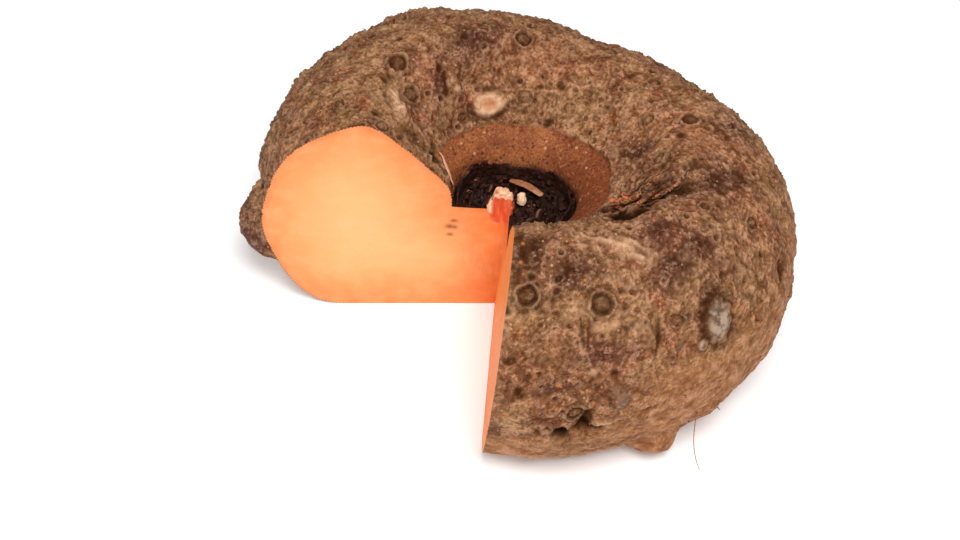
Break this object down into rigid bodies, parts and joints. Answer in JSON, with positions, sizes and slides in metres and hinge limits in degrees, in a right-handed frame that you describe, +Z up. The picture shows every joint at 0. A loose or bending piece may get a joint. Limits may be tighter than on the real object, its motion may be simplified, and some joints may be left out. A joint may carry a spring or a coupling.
{
  "type": "elephant foot yam",
  "caption": "Squat round elephant foot yam corm with warty skin, a hollow on top around a small bud, and a quarter cut out that shows its orange flesh.",
  "frame": {"origin": "middle of the foot, on the surface that the corm stands on, below the centre of its box", "axes": "+Z up through the hollow and bud, +Y to the back, and the quarter that was cut out lies between -X and -Y"},
  "size_m": [0.252, 0.2296, 0.1122],
  "materials": {
    "skin": "rough, warty and earthy",
    "flesh": "moist, finely grained cut flesh",
    "bud": "moist, smooth",
    "scale_leaf": "dark, withered and slightly glossy",
    "papery": "dry and papery",
    "dry_root": "dry and fibrous"
  },
  "bodies": {
    "root": {"corm": "skin", "shoot_bud": "bud", "outer_scale_right": "scale_leaf", "outer_scale_left": "scale_leaf", "middle_scale_right": "scale_leaf", "middle_scale_back": "scale_leaf", "middle_scale_left": "scale_leaf", "inner_scale_right": "scale_leaf", "inner_scale_left": "scale_leaf", "papery_strip": "papery", "bud_chip": "bud", "dry_root_1": "dry_root", "dry_root_2": "dry_root", "dry_root_3": "dry_root"}
  },
  "joints": []
}
